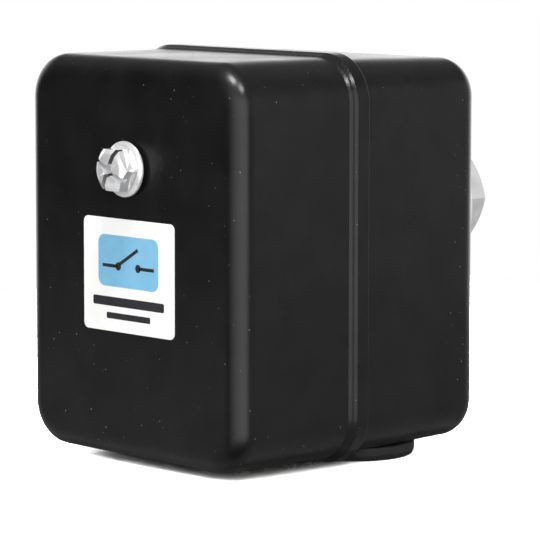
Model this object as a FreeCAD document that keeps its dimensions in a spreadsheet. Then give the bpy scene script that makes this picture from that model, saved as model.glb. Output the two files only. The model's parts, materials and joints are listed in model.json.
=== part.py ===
import FreeCAD, Part
import math
import os
import re
import Sketcher
from FreeCAD import Placement, Rotation, Vector

# A pressure switch that starts a small motor: a cover and a box on two cable grommets,
# with a diaphragm, a lever, two adjusting springs and a two-pole contact block inside.
#
# Every piece is drawn in the position of use, port down and cover up: x across, y away
# from the cable side and z up, with zero at the rim of the box. Piece.stand() then turns
# it to the part's own frame: the cover faces -Y, the port points +Y, the grommets are below.

SIZES = {
    # Where the rim of the box and the middle of its height lie in the part's own frame
    "rim_y": -13.0, "mid_height": 51.0,
    # Cover: a tray with a wider skirt that slips over the rim of the box
    "cover_width": 77.35, "cover_height": 96.0, "cover_front": 38.9, "cover_corner": 10.8,
    "cover_edge": 5.2, "cover_wall": 1.5, "skirt_out": 1.07, "skirt_top": 0.6,
    "skirt_drop": 2.02, "skirt_slope": 14.3, "slope_tall": 4.2, "skirt_wall": 0.98,
    "seat_gap": 0.1,
    # Label plate and the screw that holds the cover
    "label_width": 32.96, "label_height": 27.2, "label_away": -3.9, "label_thick": 0.3,
    "label_corner": 1.5, "screw_away": 21.8, "screw_hole": 3.3, "screw_flange": 6.7,
    "screw_hex": 9.8, "screw_tall": 6.7, "screw_shank": 2.4, "screw_reach": 7.9,
    "slot_half": 0.65, "slot_deep": 2.4, "recess_radius": 1.8,
    "washer_thick": 0.7, "seal_bore": 2.7, "seal_radius": 5.7, "seal_thick": 0.9,
    # Box
    "rim_inset": 1.28, "lip_out": 0.3, "lip_deep": 1.8, "box_deep": 42.4, "box_wall": 1.6,
    "box_floor": 2.0, "box_taper": 1.24, "box_corner": 10.5, "box_edge": 6.0,
    # Cable grommets
    "entry_across": 15.9, "entry_up": -20.9, "entry_hole": 11.1, "grommet_radius": 14.4,
    "grommet_bore": 8.15, "grommet_seat": 47.45, "grommet_inside": 45.1,
    "grommet_lip": 12.9, "grommet_deep": 4.2,
    # Pressure port and diaphragm
    "port_away": 9.0, "flange_radius": 27.0, "flange_thick": 3.8, "ring_thick": 4.0,
    "ring_bore": 18.0, "ring_roof": 1.1, "diaphragm_thick": 0.8, "port_hex": 22.2,
    "port_end": -70.9, "port_chamfer": 1.3, "port_face": 10.9, "port_bore": 5.56,
    "port_bore_deep": 14.0, "orifice": 2.5, "spigot_radius": 9.6, "chamber_deep": 1.2,
    "chamber_radius": 15.0, "flange_screw_circle": 22.4, "flange_screw_hole": 2.15,
    "flange_screw_shank": 1.95, "flange_screw_head": 3.5, "flange_screw_tall": 2.4,
    "flange_screw_long": 12.0, "plunger_disc": 16.0, "plunger_rod": 3.0,
    "plunger_free": 0.05, "box_port_hole": 6.0,
    # Frame of sheet steel
    "frame_half_wide": 31.2, "frame_half_tall": 25.2, "frame_corner": 6.0,
    "frame_away": 15.2, "rivet_away": 0.5, "rivet_up": 10.9, "rivet_radius": 1.6,
    "ground_across": 21.0, "ground_up": -8.5,
    "sheet_steel": 1.5, "side_steel": 1.2, "side_across": 34.0, "front_away": -9.5,
    "front_top": -0.7, "pivot_away": 14.0, "pivot_up": 4.0, "pin_radius": 1.5,
    "lever_pin_away": -2.0, "lever_pin_up": -20.0,
    # Bridge bracket
    "bridge_across": -31.75, "bridge_near": 29.2, "bridge_far": 42.0, "bridge_top": 36.0,
    "bridge_end": 8.5,
    # Contact block
    "block_half": 33.6, "block_under": 9.0, "lane_half": 31.6, "lane_narrow": 12.6,
    "lane_wide": 16.2, "rib_thick": 1.6, "rib_middle": 2.4, "contact_away": -8.0,
    # Lever and adjusting springs; each stud's size is its radius
    "range_stud": 2.0, "differential_stud": 1.5, "seat_thick": 1.2,
    "lever_top": -17.0, "range_across": 12.0, "differential_across": 26.0,
    "spring_away": 37.0, "range_coil": 6.5, "range_wire": 1.0, "range_seat_up": 17.0,
    "differential_coil": 3.4, "differential_wire": 0.5, "differential_seat_up": 12.5,
}

# Names of the sheet's cells inside a formula
CELL_NAME = re.compile(r"[a-z]+_[a-z_]*[a-z]|orifice")

os.makedirs("parts", exist_ok=True)
document = FreeCAD.newDocument("pressure_switch")
sheet = document.addObject("Spreadsheet::Sheet", "Sizes")
for row, (alias, value) in enumerate(SIZES.items(), start=1):
    sheet.set("A%d" % row, alias)
    sheet.set("B%d" % row, str(value))
    sheet.setAlias("B%d" % row, alias)
document.recompute()


def bound(formula):
    """The formula as an expression on the sheet's cells."""
    return CELL_NAME.sub(lambda name: "Sizes." + name.group(), str(formula))


def number(formula):
    """The formula's value now."""
    plain = CELL_NAME.sub(lambda name: "(%r)" % SIZES[name.group()], str(formula))
    return FreeCAD.Units.Quantity(plain).Value


def move(item, prefix, across, away, up):
    """Bind a placement's three coordinates."""
    item.setExpression(prefix + ".Base.x", bound(across))
    item.setExpression(prefix + ".Base.y", bound(away))
    item.setExpression(prefix + ".Base.z", bound(up))


PIECES = []
UP = Rotation()
ALONG_X = Rotation(Vector(0, 1, 0), 90)
TO_CABLE_SIDE = Rotation(Vector(1, 0, 0), 90)
STANDING = Rotation(Vector(1, 0, 0), 90)


class Piece:
    """One sub-part: a PartDesign body with its features bound to the sheet."""

    def __init__(self, label):
        self.body = document.addObject("PartDesign::Body", label)
        self.body.Label = label
        self.feature = None
        PIECES.append(self)
        self.stand()

    def stand(self, across="0", away="0", up="0", turn=UP):
        """Place the piece, given in the position of use, in the part's own frame."""
        self.body.Placement = Placement(Vector(), STANDING.multiply(turn))
        move(self.body, "Placement", across, "rim_y - (%s)" % up, "mid_height + (%s)" % away)
        return self

    def sketch(self, plane="XY_Plane", height="0"):
        """An empty sketch on one of the body's own planes, raised along its normal."""
        sketch = self.body.newObject("Sketcher::SketchObject", self.body.Name + "_sketch")
        planes = self.body.Origin.OriginFeatures
        support = next(item for item in planes if item.Role == plane)
        sketch.AttachmentSupport = [(support, "")]
        sketch.MapMode = "FlatFace"
        sketch.setExpression("AttachmentOffset.Base.z", bound(height))
        return sketch

    def locate(self, sketch, geometry, point, across, up):
        """Fix one point of the sketch by its two distances from the origin."""
        for kind, formula in (("DistanceX", across), ("DistanceY", up)):
            rule = Sketcher.Constraint(kind, -1, 1, geometry, point, number(formula))
            index = sketch.addConstraint(rule)
            sketch.setExpression("Constraints[%d]" % index, bound(formula))

    def polygon(self, corners, plane="XY_Plane", height="0"):
        """A closed outline through corners given as pairs of formulas."""
        sketch = self.sketch(plane, height)
        points = [Vector(number(across), number(up), 0) for across, up in corners]
        for index, start in enumerate(points):
            end = points[(index + 1) % len(points)]
            sketch.addGeometry(Part.LineSegment(start, end), False)
        for index in range(len(points)):
            following = (index + 1) % len(points)
            sketch.addConstraint(Sketcher.Constraint("Coincident", index, 2, following, 1))
        for index, (across, up) in enumerate(corners):
            self.locate(sketch, index, 1, across, up)
        return sketch

    def rounded(self, half_width, half_height, radius, height="0", middle_up="0"):
        """A rectangle with round corners, centred on x = 0."""
        sketch = self.sketch("XY_Plane", height)
        wide = number("(%s) - (%s)" % (half_width, radius))
        tall = number("(%s) - (%s)" % (half_height, radius))
        round_size = number(radius)
        middle = number(middle_up)
        quarters = ((1, 1), (-1, 1), (-1, -1), (1, -1))
        ends = []
        for index, (side, level) in enumerate(quarters):
            centre = Vector(side * wide, middle + level * tall, 0)
            circle = Part.Circle(centre, Vector(0, 0, 1), round_size)
            start = index * math.pi / 2
            arc = Part.ArcOfCircle(circle, start, start + math.pi / 2)
            sketch.addGeometry(arc, False)
            ends.append((arc.StartPoint, arc.EndPoint))
        for index in range(4):
            line = Part.LineSegment(ends[index][1], ends[(index + 1) % 4][0])
            sketch.addGeometry(line, False)
        for index in range(4):
            line = index + 4
            following = (index + 1) % 4
            sketch.addConstraint(Sketcher.Constraint("Tangent", index, 2, line, 1))
            sketch.addConstraint(Sketcher.Constraint("Tangent", line, 2, following, 1))
        for index, (side, level) in enumerate(quarters):
            rule = sketch.addConstraint(Sketcher.Constraint("Radius", index, round_size))
            sketch.setExpression("Constraints[%d]" % rule, bound(radius))
            across = "%d * ((%s) - (%s))" % (side, half_width, radius)
            up = "(%s) + %d * ((%s) - (%s))" % (middle_up, level, half_height, radius)
            self.locate(sketch, index, 3, across, up)
        return sketch

    def added(self, kind, sketch):
        """A new feature made from the sketch."""
        self.feature = self.body.newObject(kind, self.body.Name + "_" + kind.split("::")[1])
        self.feature.Profile = sketch
        return self.feature

    def pad(self, sketch, length, down=False, middle=False, taper=None):
        feature = self.added("PartDesign::Pad", sketch)
        feature.setExpression("Length", bound(length))
        feature.Reversed = down
        feature.Midplane = middle
        if taper is not None:
            feature.setExpression("TaperAngle", bound(taper))
        return self

    def pocket(self, sketch, length, up=False, middle=False, taper=None):
        feature = self.added("PartDesign::Pocket", sketch)
        feature.setExpression("Length", bound(length))
        feature.Reversed = up
        feature.Midplane = middle
        if taper is not None:
            feature.setExpression("TaperAngle", bound(taper))
        return self

    def turned(self, corners):
        """A solid of revolution about z; each corner is a radius and a height."""
        sketch = self.polygon(corners, "XZ_Plane")
        feature = self.added("PartDesign::Revolution", sketch)
        feature.ReferenceAxis = (sketch, ["V_Axis"])
        feature.Angle = 360
        return self

    def primitive(self, kind, across, away, up, turn):
        self.feature = self.body.newObject("PartDesign::" + kind, self.body.Name + "_" + kind)
        self.feature.MapMode = "Deactivated"
        self.feature.Placement = Placement(Vector(), turn)
        move(self.feature, "Placement", across, away, up)
        return self.feature

    def drum(self, across, away, up, radius, tall, turn=UP, cut=False):
        """A cylinder from its foot along the turned z axis, added or cut away."""
        kind = "SubtractiveCylinder" if cut else "AdditiveCylinder"
        feature = self.primitive(kind, across, away, up, turn)
        feature.setExpression("Radius", bound(radius))
        feature.setExpression("Height", bound(tall))
        return self

    def hole(self, across, away, up, radius, deep, turn=UP):
        return self.drum(across, away, up, radius, deep, turn, cut=True)

    def brick(self, across, away, up, cut=False, turn=0):
        """A box between two limits on each axis, turned about z, added or cut away."""
        kind = "SubtractiveBox" if cut else "AdditiveBox"
        cosine, sine = "cos(%s)" % turn, "sin(%s)" % turn
        corner_across = "(%s) * %s - (%s) * %s" % (across[0], cosine, away[0], sine)
        corner_away = "(%s) * %s + (%s) * %s" % (across[0], sine, away[0], cosine)
        feature = self.primitive(kind, corner_across, corner_away, up[0],
                                 Rotation(Vector(0, 0, 1), turn))
        for side, (low, high) in (("Length", across), ("Width", away), ("Height", up)):
            feature.setExpression(side, bound("(%s) - (%s)" % (high, low)))
        return self

    def prism(self, across, away, up, flats, tall, cut=False):
        """A hexagonal prism with its corners along x, given across its flats."""
        kind = "SubtractivePrism" if cut else "AdditivePrism"
        feature = self.primitive(kind, across, away, up, UP)
        feature.Polygon = 6
        feature.setExpression("Circumradius", bound("(%s) / (2 * cos(30))" % flats))
        feature.setExpression("Height", bound(tall))
        return self

    def edges(self, test):
        """Names of the present shape's edges that pass the test."""
        document.recompute()
        return ["Edge%d" % index for index, edge in enumerate(self.feature.Shape.Edges, 1)
                if test(edge)]

    def blend(self, kind, test, amount):
        names = self.edges(test)
        base = self.feature
        self.feature = self.body.newObject("PartDesign::" + kind, self.body.Name + "_" + kind)
        self.feature.Base = (base, names)
        self.feature.setExpression("Radius" if kind == "Fillet" else "Size", bound(amount))
        return self

    def fillet(self, test, radius):
        return self.blend("Fillet", test, radius)

    def chamfer(self, test, size):
        return self.blend("Chamfer", test, size)

    def coil(self, radius, wire, low, high, turns):
        """A round-wire spring about z, between two flat seats."""
        sketch = self.sketch("XZ_Plane")
        centre = Vector(number(radius), number("(%s) + (%s)" % (low, wire)), 0)
        circle = Part.Circle(centre, Vector(0, 0, 1), number(wire))
        sketch.addGeometry(circle, False)
        rule = sketch.addConstraint(Sketcher.Constraint("Radius", 0, number(wire)))
        sketch.setExpression("Constraints[%d]" % rule, bound(wire))
        self.locate(sketch, 0, 3, radius, "(%s) + (%s)" % (low, wire))
        feature = self.added("PartDesign::AdditiveHelix", sketch)
        feature.ReferenceAxis = (sketch, ["V_Axis"])
        feature.Mode = "height-turns-angle"
        feature.setExpression("Height", bound("(%s) - (%s) - 2 * (%s)" % (high, low, wire)))
        feature.setExpression("Turns", str(turns))
        return self


def at_height(height, tolerance=0.01):
    """A test for edges that lie flat at one height."""
    level = number(height)
    return lambda edge: (abs(edge.BoundBox.ZMin - level) < tolerance
                         and abs(edge.BoundBox.ZMax - level) < tolerance)


# ---------------------------------------------------------------- cover and its screw
def make_cover():
    cover = Piece("cover")
    skirt = ("cover_width / 2 + skirt_out", "cover_height / 2 + skirt_out",
             "cover_corner + skirt_out")
    cover.pad(cover.rounded(*skirt, height="-skirt_drop"), "skirt_top + skirt_drop")
    cover.pad(cover.rounded(*skirt, height="skirt_top"), "slope_tall", taper="-skirt_slope")
    cover.pad(cover.rounded("cover_width / 2", "cover_height / 2", "cover_corner"),
              "cover_front")
    cavity = ("cover_width / 2 - cover_wall", "cover_height / 2 - cover_wall",
              "cover_corner - cover_wall")
    cover.pocket(cover.rounded(*cavity, height="-skirt_drop"),
                 "cover_front - cover_wall + skirt_drop", up=True)
    cover.fillet(at_height("cover_front - cover_wall"), "cover_edge - cover_wall")
    cover.fillet(at_height("cover_front"), "cover_edge")
    seat = ("cover_width / 2 + skirt_out - skirt_wall",
            "cover_height / 2 + skirt_out - skirt_wall",
            "cover_corner + skirt_out - skirt_wall")
    cover.pocket(cover.rounded(*seat, height="-skirt_drop"), "skirt_drop + seat_gap", up=True)
    cover.hole("0", "screw_away", "cover_front - 3", "screw_hole", "6")

    label = Piece("label_plate")
    label.pad(label.rounded("label_width / 2", "label_height / 2", "label_corner",
                            "cover_front", "label_away"), "label_thick")

    screw = Piece("cover_screw").stand("0", "screw_away", "cover_front")
    screw.turned((("0", "-screw_reach"), ("screw_shank", "-screw_reach"),
                  ("screw_shank", "seal_thick"), ("screw_flange", "seal_thick"),
                  ("screw_flange", "seal_thick + washer_thick"),
                  ("screw_hex / 2", "seal_thick + 1.6"),
                  ("0", "seal_thick + 1.6")))
    screw.prism("0", "0", "seal_thick + 1", "screw_hex", "screw_tall - seal_thick - 1")
    screw.chamfer(at_height("screw_tall"), "0.7")
    bottom = "screw_tall - slot_deep"
    for turn in (-27, 63):
        screw.brick(("-screw_hex", "screw_hex"), ("-slot_half", "slot_half"),
                    (bottom, "screw_tall + 1"), cut=True, turn=turn)
    screw.hole("0", "0", bottom, "recess_radius", "slot_deep + 1")

    seal = Piece("seal_washer").stand("0", "screw_away", "cover_front")
    seal.turned((("seal_bore", "0"), ("seal_radius", "0"), ("seal_radius", "seal_thick"),
                 ("seal_bore", "seal_thick")))


# ---------------------------------------------------------------- box and grommets
def make_box():
    box = Piece("housing")
    half_wide = "cover_width / 2 + skirt_out - rim_inset"
    half_tall = "cover_height / 2 + skirt_out - rim_inset"
    wall_wide = half_wide + " - lip_out"
    wall_tall = half_tall + " - lip_out"
    box.pad(box.rounded(wall_wide, wall_tall, "box_corner - lip_out", "-lip_deep"),
            "box_deep - lip_deep", down=True, taper="-box_taper")
    box.fillet(at_height("-box_deep"), "box_edge")
    box.pad(box.rounded(half_wide, half_tall, "box_corner", "-lip_deep"), "lip_deep")
    box.pocket(box.rounded(wall_wide + " - box_wall", wall_tall + " - box_wall",
                           "box_corner - lip_out - box_wall"),
               "box_deep - box_floor", taper="-box_taper")
    box.fillet(at_height("box_floor - box_deep"), "box_edge - box_floor")
    for side in ("-", ""):
        box.hole(side + "entry_across", "-cover_height / 4", "entry_up", "entry_hole",
                 "cover_height / 2", TO_CABLE_SIDE)
    box.hole("0", "port_away", "-box_deep - 1", "box_port_hole", "box_floor + 2")
    for across, away in flange_screw_places():
        box.hole(across, away, "-box_deep - 1", "flange_screw_hole", "box_floor + 2")

    for name, side in (("grommet_left", "-"), ("grommet_right", "")):
        grommet = Piece(name)
        grommet.stand(side + "entry_across", "0", "entry_up", TO_CABLE_SIDE)
        grommet.turned((("grommet_bore + 0.8", "grommet_inside - grommet_deep"),
                        ("grommet_lip - 1", "grommet_inside - grommet_deep"),
                        ("grommet_lip", "grommet_inside - 1"),
                        ("grommet_lip", "grommet_inside"),
                        ("entry_hole - 0.05", "grommet_inside"),
                        ("entry_hole - 0.05", "grommet_seat"),
                        ("grommet_radius", "grommet_seat"),
                        ("grommet_radius", "mid_height - 1.2"),
                        ("grommet_radius - 1.2", "mid_height"),
                        ("grommet_bore + 2", "mid_height"),
                        ("grommet_bore", "mid_height - 2"),
                        ("grommet_bore", "grommet_inside - grommet_deep + 0.8")))


# ---------------------------------------------------------------- port and diaphragm
def flange_screw_places():
    """Four screws on a circle about the port."""
    half_side = "flange_screw_circle * cos(45)"
    return [("%s * %s" % (side, half_side), "port_away + %s * %s" % (level, half_side))
            for side in (-1, 1) for level in (-1, 1)]


def make_port():
    ring_low = "-box_deep - ring_thick"
    flange_top = ring_low + " - diaphragm_thick"
    flange_low = flange_top + " - flange_thick"

    ring_roof = "-box_deep - ring_roof"
    ring = Piece("diaphragm_ring").stand("0", "port_away")
    ring.turned((("plunger_rod + 0.3", ring_roof), ("ring_bore", ring_roof),
                 ("ring_bore", ring_low), ("flange_radius", ring_low),
                 ("flange_radius", "-box_deep"), ("plunger_rod + 0.3", "-box_deep")))

    membrane = Piece("diaphragm").stand("0", "port_away")
    membrane.turned((("0", flange_top), ("flange_radius - 0.4", flange_top),
                     ("flange_radius - 0.4", ring_low), ("0", ring_low)))

    chamber_roof = flange_top + " - chamber_deep"
    flange = Piece("port_flange").stand("0", "port_away")
    flange.turned((("spigot_radius + 0.03", flange_low), ("flange_radius - 1", flange_low),
                   ("flange_radius", flange_low + " + 1"), ("flange_radius", flange_top),
                   ("chamber_radius", flange_top), ("chamber_radius - 1", chamber_roof),
                   ("spigot_radius + 0.03", chamber_roof)))

    port = Piece("port_fitting").stand("0", "port_away")
    corner = "port_hex / (2 * cos(30))"
    port.turned((("orifice", "port_end"), ("port_face", "port_end"),
                 (corner, "port_end + port_chamfer"), (corner, flange_low),
                 ("spigot_radius", flange_low), ("spigot_radius", chamber_roof),
                 ("orifice", chamber_roof)))
    for turn in range(30, 390, 60):
        port.brick(("port_hex / 2", "port_hex"), ("-port_hex", "port_hex"),
                   ("port_end - 1", flange_low), cut=True, turn=turn)
    port.hole("0", "0", "port_end - 1", "port_bore", "port_bore_deep + 1")

    for index, (across, away) in enumerate(flange_screw_places(), start=1):
        local_away = "(%s) - port_away" % away
        for piece in (ring, membrane, flange):
            piece.hole(across, local_away, "port_end", "flange_screw_hole", "-(port_end)")
        screw = Piece("flange_screw_%d" % index).stand(across, away, flange_low)
        screw.turned((("0", "-flange_screw_tall"), ("flange_screw_head - 0.9", "-flange_screw_tall"),
                      ("flange_screw_head", "1 - flange_screw_tall"), ("flange_screw_head", "0"),
                      ("flange_screw_shank", "0"), ("flange_screw_shank", "flange_screw_long"),
                      ("0", "flange_screw_long")))
        screw.prism("0", "0", "-flange_screw_tall", "3", "1.4", cut=True)

    plunger = Piece("plunger").stand("0", "port_away")
    disc_low = ring_low + " + plunger_free"
    tip = "lever_top - 1.7"
    plunger.turned((("0", disc_low), ("plunger_disc", disc_low),
                    ("plunger_disc", disc_low + " + 2"), ("plunger_rod", disc_low + " + 2"),
                    ("plunger_rod", tip + " - 1.1"), ("plunger_rod / 2", tip), ("0", tip)))


# ---------------------------------------------------------------- frame
def make_frame():
    floor_low = "box_floor - box_deep"
    floor_top = floor_low + " + sheet_steel"
    floor = Piece("frame_floor")
    floor.pad(floor.rounded("frame_half_wide", "frame_half_tall", "frame_corner", floor_low,
                            "frame_away"), "sheet_steel")
    floor.hole("0", "port_away", floor_low, "plunger_rod + 0.6", "sheet_steel")
    for across, away in flange_screw_places():
        floor.hole(across, away, floor_low, "flange_screw_shank + 0.02", "sheet_steel")
    for name in ("range", "differential"):
        floor.hole(name + "_across", "spring_away", floor_low, name + "_stud + 0.02",
                   "sheet_steel")

    far_side = "side_across + side_steel"
    for name, sign in (("side_plate_left", "-"), ("side_plate_right", "")):
        plate = Piece(name)
        inner, outer = "side_across", far_side
        start = inner if sign == "" else "-(%s)" % outer
        low = floor_top + " + 0.75"
        # The plate's outline and its slot, each corner as away and up
        ear = (("-5.8", low), ("-5.8", "16.8"), ("5", "15.5"), ("13", "11.8"),
               ("17.6", "7.4"), ("17.6", "3"), ("16", "0.4"), ("8", "0.4"), ("8", low))
        plate.pad(plate.polygon(ear, "YZ_Plane", start), "side_steel")
        slot = (("pivot_away + 1.1", "pivot_up - 0.7"), ("pivot_away - 1.1", "pivot_up + 0.7"),
                ("pivot_away - 4.7", "pivot_up - 5"), ("pivot_away - 2.4", "pivot_up - 6.4"))
        plate.pocket(plate.polygon(slot, "YZ_Plane", start), "side_steel", up=True)
        foot = ("27", "side_across + 0.6") if sign == "" else ("-side_across - 0.6", "-27")
        plate.brick(foot, ("-5.8", "8"), (floor_top, floor_top + " + side_steel"))
        for away, up, radius in (("pivot_away", "pivot_up", "pin_radius + 0.02"),
                                 ("lever_pin_away", "lever_pin_up", "pin_radius + 0.02"),
                                 ("rivet_away", "rivet_up", "rivet_radius + 0.05")):
            plate.hole("-1 * (side_across + 3)" if sign else "side_across - 1",
                       away, up, radius, "4", ALONG_X)

    front = Piece("front_plate")
    corners = (("-33", floor_top), ("33", floor_top), ("33", "-14"), ("28.5", "front_top"),
               ("-33", "front_top"))
    front.pad(front.polygon(corners, "XZ_Plane", "-(front_away)"), "side_steel", down=True)
    front.hole("ground_across", "front_away + 3", "ground_up", "1.95", "5", TO_CABLE_SIDE)
    front.hole("29", "front_away + 3", "-10", "1.7", "5", TO_CABLE_SIDE)

    ground = Piece("ground_screw")
    ground.stand("ground_across", "front_away", "ground_up", TO_CABLE_SIDE)
    ground.turned((("0", "-4"), ("1.9", "-4"), ("1.9", "0"), ("3.5", "0"), ("3.5", "1.2"),
                   ("2.6", "2.3"), ("0", "2.3")))
    ground.brick(("-4", "4"), ("-0.45", "0.45"), ("1.2", "3"), cut=True)

    for name, away, up in (("carrier_pin", "pivot_away", "pivot_up"),
                           ("lever_pin", "lever_pin_away", "lever_pin_up")):
        pin = Piece(name).stand("-35.8", away, up, ALONG_X)
        pin.drum("0", "0", "0", "pin_radius", "71.6")
        pin.chamfer(lambda edge: edge.Closed, "0.3")


def make_bridge():
    floor_top = "box_floor - box_deep + sheet_steel"
    arm_low = "bridge_top - sheet_steel"
    bridge = Piece("bridge_bracket")
    bridge.brick(("bridge_across", "bridge_across + sheet_steel"),
                 ("bridge_near", "bridge_far"), (floor_top, "bridge_top"))
    bridge.brick(("bridge_across", "bridge_across + 14"), ("bridge_near", "39"),
                 (floor_top, floor_top + " + sheet_steel"))
    arm = (("bridge_across", "bridge_near"), ("-25", "bridge_near"),
           ("-21", "bridge_near + 5"), ("-11", "bridge_near + 5"), ("-8", "14.8"),
           ("bridge_end", "14.8"), ("bridge_end", "bridge_far"),
           ("bridge_across", "bridge_far"))
    bridge.pad(bridge.polygon(arm, "XY_Plane", arm_low), "sheet_steel")
    bridge.brick(("bridge_across", "-25"), ("bridge_near", "bridge_near + 1.2"),
                 (arm_low + " - 2.6", arm_low))
    bridge.brick(("-21", "bridge_end"), ("bridge_far - 1.2", "bridge_far"),
                 (arm_low + " - 3.4", arm_low))
    bridge.hole("0", "screw_away", arm_low + " - 1", "3", "4")
    bridge.brick(("bridge_across - 1", "bridge_across + 3"), ("34.6", "36.8"),
                 ("4", "26"), cut=True)
    for away in ("31.5", "36.6"):
        bridge.hole("-23", away, floor_top + " - 1", "1.75", "4")

    nut = Piece("bridge_nut")
    leaf = "0.9"
    near, far = "screw_away - 5.5", "screw_away + 5.5"
    nut.brick(("-6", "bridge_end + " + leaf), (near, far),
              ("bridge_top", "bridge_top + " + leaf))
    nut.brick(("bridge_end", "bridge_end + " + leaf), (near, far),
              (arm_low + " - " + leaf, "bridge_top + " + leaf))
    nut.brick(("-6", "bridge_end + " + leaf), (near, far), (arm_low + " - " + leaf, arm_low))
    nut.drum("0", "screw_away", arm_low + " - 3.3", "4", "2.6")
    nut.hole("0", "screw_away", arm_low + " - 4", "screw_shank + 0.05", "8")

    for index, away in enumerate(("31.5", "36.6"), start=1):
        screw = Piece("bracket_screw_%d" % index)
        screw.stand("-23", away, floor_top + " + sheet_steel")
        screw.turned((("0", "-1.5"), ("1.7", "-1.5"), ("1.7", "0"), ("2.4", "0"),
                      ("2.4", "0.8"), ("1.7", "1.5"), ("0", "1.5")))


# ---------------------------------------------------------------- contact block
LANES = ("narrow", "wide", "narrow", "wide")


def lane_middles():
    """The middle of each of the four lanes, from left to right."""
    pole = "lane_narrow + rib_thick + lane_wide"
    starts = ("-lane_half", "-lane_half + lane_narrow + rib_thick",
              "rib_middle / 2", "rib_middle / 2 + lane_narrow + rib_thick")
    assert abs(number("2 * (%s) + rib_middle - 2 * lane_half" % pole)) < 0.001
    return ["%s + lane_%s / 2" % (start, kind) for start, kind in zip(starts, LANES)]


def make_block():
    # Side outlines, each corner as away and up: the whole block, then what a lane cuts away
    block = Piece("contact_block")
    outline = (("-19.6", "block_under"), ("-13.4", "23.3"), ("-2.2", "33.7"), ("12", "31.5"),
               ("22", "28"), ("28.5", "23.2"), ("26.5", "block_under"))
    block.pad(block.polygon(outline, "YZ_Plane"), "2 * block_half", middle=True)
    block.brick(("-block_half", "31"), ("-2.2", "1.6"), ("30", "35.8"))
    block.brick(("-30", "26"), ("6.6", "10.4"), ("30", "36.6"))
    lane = (("-26", "4"), ("-12.6", "4"), ("-12.6", "block_under"), ("-7", "21"),
            ("-3.4", "27.5"), ("-3.4", "40"), ("-26", "40"))
    for kind, middle in zip(LANES, lane_middles()):
        sketch = block.polygon(lane, "YZ_Plane", middle)
        block.pocket(sketch, "lane_" + kind, middle=True)
    block.brick(("-30.4", "30.4"), ("-3", "24"), ("block_under - 1", "block_under + 12"),
                cut=True)
    for side in ("-block_half - 1", "block_half - 5"):
        block.hole(side, "rivet_away", "rivet_up", "rivet_radius + 0.02", "6", ALONG_X)
    make_terminals(block)

    for name, side, turn in (("block_rivet_left", "-(side_across + side_steel)", 180),
                             ("block_rivet_right", "side_across + side_steel", 0)):
        rivet = Piece(name)
        rivet.stand(side, "rivet_away", "rivet_up",
                    Rotation(Vector(0, 0, 1), turn).multiply(ALONG_X))
        rivet.turned((("0", "-5"), ("rivet_radius", "-5"), ("rivet_radius", "0"),
                      ("2.7", "0"), ("2.4", "0.7"), ("1.2", "1"), ("0", "1")))


def make_terminals(block):
    # The terminals lean back: where a screw head sits on one, and where its hole ends
    slope = Rotation(Vector(1, 0, 0), 65)
    seat = ("-10.59", "15.8")
    inside = ("-4.25", "12.84")
    for index, (kind, middle) in enumerate(zip(LANES, lane_middles()), start=1):
        half = "4.6" if kind == "narrow" else "6.4"
        aside = "1.6" if kind == "narrow" else "3.1"
        strip = Piece("terminal_%d" % index)
        profile = (("-13.9", "7.9"), ("-4.5", "7.9"), ("-4.5", "8.9"), ("-12.68", "8.9"),
                   ("-7.55", "19.9"), ("-8.45", "20.3"), ("-13.85", "8.8"))
        strip.pad(strip.polygon(profile, "YZ_Plane", middle), "2 * " + half, middle=True)
        strip.drum(middle, "contact_away", "6.65", "2.2", "1.3")
        screw_across = "%s + %s" % (middle, aside)
        strip.hole(screw_across, *inside, "1.72", "9", slope)
        block.hole(screw_across, *inside, "1.62", "9", slope)
        screw = Piece("terminal_screw_%d" % index).stand(screw_across, *seat, slope)
        screw.turned((("0", "-6"), ("1.6", "-6"), ("1.6", "0"), ("3.1", "0"), ("3.1", "1.3"),
                      ("2.3", "2.3"), ("0", "2.3")))
        screw.brick(("-4", "4"), ("-0.4", "0.4"), ("1.3", "3"), cut=True)
        clamp = Piece("wire_clamp_%d" % index).stand(middle, *seat, slope)
        across = ("0.3 - " + half, aside + " - 3.3")
        clamp.brick(across, ("-4", "4"), ("0", "1.1"))
        for step in range(3):
            low = 2.2 * step - 2.6
            clamp.brick(across, (str(low), str(low + 0.8)), ("0.7", "2"), cut=True)


# ---------------------------------------------------------------- moving parts
def make_mechanism():
    carrier = Piece("contact_carrier")
    profile = (("-12.5", "2.6"), ("-12.5", "4.6"), ("9", "4.6"), ("10.5", "7.2"),
               ("17.4", "7.2"), ("17.8", "1"), ("12", "-1.5"), ("-2", "-1.5"), ("-4", "2.6"))
    carrier.pad(carrier.polygon(profile, "YZ_Plane"), "60", middle=True)
    carrier.hole("-31", "pivot_away", "pivot_up", "pin_radius + 0.05", "62", ALONG_X)
    middles = lane_middles()
    for index, (first, last) in enumerate((middles[:2], middles[2:]), start=1):
        strip = Piece("moving_contact_%d" % index)
        strip.brick(("%s - 3" % first, "%s + 3" % last),
                    ("contact_away - 3", "contact_away + 3"), ("4.6", "5.6"))
        for middle in (first, last):
            strip.drum(middle, "contact_away", "5.4", "2.2", "1.2")

    lever = Piece("lever")
    plate = (("-15.5", "-5"), ("15.5", "-5"), ("15.5", "27"), ("31", "29"), ("31", "43.5"),
             ("3", "43.5"), ("-15.5", "27"))
    lever.pad(lever.polygon(plate, "XY_Plane", "lever_top - 1.5"), "1.5")
    for low, high in (("-15.5", "-14"), ("14", "15.5")):
        lever.brick((low, high), ("-5", "20"), ("lever_top - 6", "lever_top - 1"))
    lever.hole("-20", "lever_pin_away", "lever_pin_up", "pin_radius + 0.05", "40", ALONG_X)
    lever.hole("range_across", "spring_away", "lever_top - 3", "3.3", "6")
    lever.hole("differential_across", "spring_away", "lever_top - 3", "2.6", "6")

    Piece("snap_spring").stand("0", "2").coil("3", "0.4", "lever_top", "-1.5", "6")


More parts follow.
